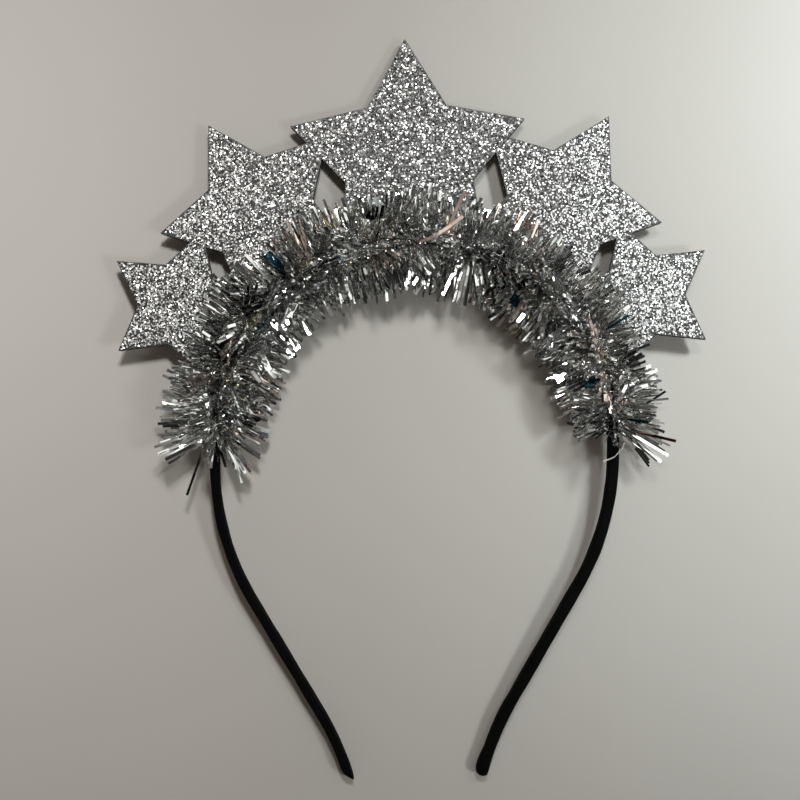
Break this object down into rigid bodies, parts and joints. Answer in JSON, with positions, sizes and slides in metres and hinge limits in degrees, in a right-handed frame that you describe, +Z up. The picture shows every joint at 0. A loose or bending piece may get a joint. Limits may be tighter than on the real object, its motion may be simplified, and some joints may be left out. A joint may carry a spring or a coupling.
{
  "type": "star tinsel headband",
  "caption": "Black cloth-covered hoop headband with a fan of joined silver glitter stars and a silver foil tinsel garland wound round its crown.",
  "frame": {"origin": "on the table under the middle of the part's box, as the headband lies on its back", "axes": "+Y from the ends of the arms to the top star, +X across the head towards the rounded arm end, +Z up from the table, out of the front of the stars"},
  "size_m": [0.168, 0.2134, 0.0274],
  "materials": {
    "band_cloth": "fine black ribbed cloth glued round the hoop",
    "star_foam": "matt black craft foam with cut edges",
    "star_glitter": "coarse silver glitter on a grey glue layer",
    "tinsel_foil": "mirror-bright silver foil strips"
  },
  "bodies": {
    "root": {"band": "band_cloth", "star_backing": "star_foam", "star_glitter_face": "star_glitter", "tinsel_garland": "tinsel_foil"}
  },
  "joints": []
}
